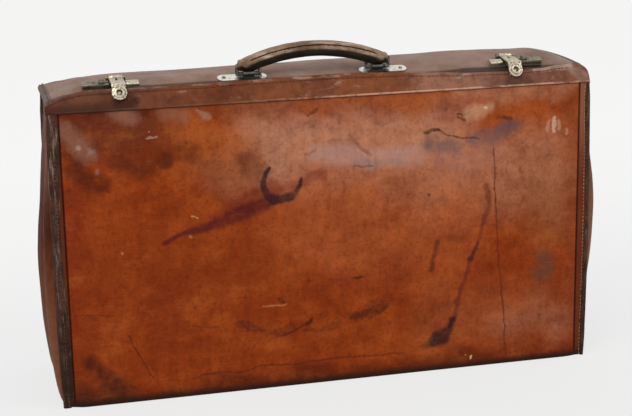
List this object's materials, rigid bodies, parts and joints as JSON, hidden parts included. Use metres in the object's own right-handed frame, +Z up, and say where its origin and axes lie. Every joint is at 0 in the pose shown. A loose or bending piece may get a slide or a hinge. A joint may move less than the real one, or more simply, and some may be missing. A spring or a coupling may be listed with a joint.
{
  "type": "leather suitcase",
  "caption": "Tall flat leather suitcase with puffed end gussets, a crowned lid hinged at the rear, an arched carrying handle and hasp locks that reach over the front lip.",
  "frame": {"origin": "middle of the underside that the case stands on", "axes": "+X along the case's length, front facing -Y, +Z up"},
  "size_m": [0.6296, 0.152, 0.3817],
  "materials": {
    "tan_leather": "worn glazed hide with scuffs and stains",
    "gusset_leather": "thin creased hide",
    "lid_leather": "dark dry hide",
    "welt_leather": "frayed stitched hide",
    "handle_leather": "hand-polished stitched hide",
    "lining_cloth": "plain cotton drill",
    "board": "millboard",
    "frame_steel": "dull drawn steel",
    "plate_nickel": "bright nickel plate",
    "lock_brass": "tarnished pale brass"
  },
  "bodies": {
    "case": {"base_panel": "tan_leather", "base_board": "board", "base_lining": "lining_cloth", "front_panel": "tan_leather", "back_panel": "tan_leather", "left_gusset": "gusset_leather", "right_gusset": "gusset_leather", "front_left_welt": "welt_leather", "front_right_welt": "welt_leather", "back_left_welt": "welt_leather", "back_right_welt": "welt_leather", "front_lining": "lining_cloth", "back_lining": "lining_cloth", "left_lining": "lining_cloth", "right_lining": "lining_cloth", "mouth_frame": "frame_steel", "pivot_rivets": "frame_steel", "front_band": "tan_leather", "front_stay": "frame_steel", "left_keeper": "lock_brass", "right_keeper": "lock_brass"},
    "lid": {"lid_top": "lid_leather", "lid_left_cap": "lid_leather", "lid_right_cap": "lid_leather", "lid_frame": "frame_steel", "lid_lining": "lining_cloth", "left_handle_plate": "plate_nickel", "right_handle_plate": "plate_nickel", "handle_rivets": "plate_nickel", "left_lock_plate": "lock_brass", "right_lock_plate": "lock_brass", "lock_rivets": "lock_brass", "left_lock_case": "lock_brass", "right_lock_case": "lock_brass", "left_bolt_guide": "lock_brass", "right_bolt_guide": "lock_brass", "left_hasp_pin": "frame_steel", "right_hasp_pin": "frame_steel"},
    "handle": {"handle_cover": "handle_leather", "handle_core": "board", "left_handle_ring": "plate_nickel", "right_handle_ring": "plate_nickel"},
    "left_hasp": {"left_hasp": "lock_brass", "left_staple": "lock_brass"},
    "right_hasp": {"right_hasp": "lock_brass", "right_staple": "lock_brass"},
    "left_bolt": {"left_slide_bolt": "lock_brass"},
    "right_bolt": {"right_slide_bolt": "lock_brass"}
  },
  "joints": [
    {"name": "lid_hinge", "type": "hinge", "parent": "case", "child": "lid", "pos_m": [0, 0.071, 0.324], "axis": [-1, 0, 0], "range_deg": [0, 100]},
    {"name": "handle_swing", "type": "hinge", "parent": "lid", "child": "handle", "pos_m": [-0.01, -0.04559, 0.34926], "axis": [1, 0, 0], "range_deg": [-40, 60]},
    {"name": "left_hasp_hinge", "type": "hinge", "parent": "lid", "child": "left_hasp", "pos_m": [-0.2245, -0.03636, 0.35156], "axis": [-1, 0, 0], "range_deg": [0, 120]},
    {"name": "right_hasp_hinge", "type": "hinge", "parent": "lid", "child": "right_hasp", "pos_m": [0.2145, -0.03636, 0.35156], "axis": [-1, 0, 0], "range_deg": [0, 120]},
    {"name": "left_bolt_slide", "type": "slide", "parent": "lid", "child": "left_bolt", "axis": [1, 0, 0], "range_m": [0, 0.005]},
    {"name": "right_bolt_slide", "type": "slide", "parent": "lid", "child": "right_bolt", "axis": [-1, 0, 0], "range_m": [0, 0.005]}
  ]
}
